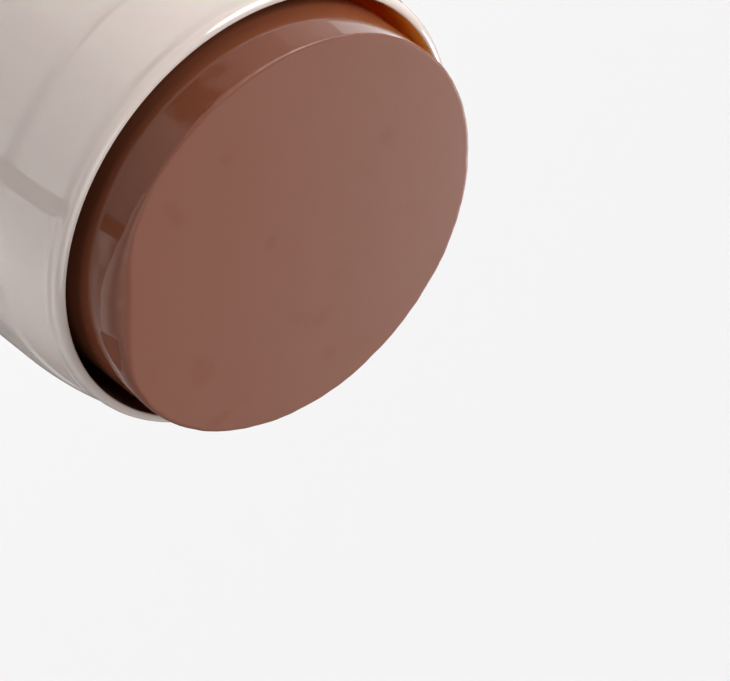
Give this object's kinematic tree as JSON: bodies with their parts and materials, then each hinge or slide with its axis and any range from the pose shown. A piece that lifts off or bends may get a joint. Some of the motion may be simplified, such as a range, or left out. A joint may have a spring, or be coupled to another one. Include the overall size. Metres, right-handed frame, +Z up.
{
  "type": "bronzer stick",
  "caption": "Twist-up face stick: a round bullet of bronzer on a screw-driven carrier inside a white tube, raised and lowered by turning the knob at its foot.",
  "frame": {"origin": "centre of the circle that the stick stands on, at the bottom of the knob", "axes": "+Z up the stick's own axis, from the knob to the bullet's face; +X through the first of the three guide keys"},
  "size_m": [0.0372, 0.0372, 0.0602],
  "materials": {
    "barrel_white": "polished moulded plastic",
    "inner_white": "plain moulded plastic",
    "spindle_plastic": "plain acetal",
    "ring_rubber": "greased silicone",
    "carrier_plastic": "plain polypropylene",
    "bronzer": "smooth satin cream, poured and set",
    "knob_white": "polished moulded plastic",
    "disc_white": "fine satin"
  },
  "bodies": {
    "barrel": {"barrel": "barrel_white", "bearing_plug": "inner_white"},
    "knob": {"twist_knob": "knob_white", "spindle": "spindle_plastic", "friction_ring": "ring_rubber", "base_disc": "disc_white"},
    "bullet": {"carrier": "carrier_plastic", "bullet": "bronzer"}
  },
  "joints": [
    {"name": "knob_twist", "type": "hinge", "parent": "barrel", "child": "knob", "pos_m": [0, 0, 0.0055], "axis": [0, 0, 1], "range_deg": [-252, 900]},
    {"name": "bullet_lift", "type": "slide", "parent": "barrel", "child": "bullet", "axis": [0, 0, 1], "range_m": [-0.0056, 0.02]}
  ],
  "couplings": [
    {"joint": "bullet_lift", "follows": "knob_twist", "m_per_rad": 0.0012732}
  ]
}
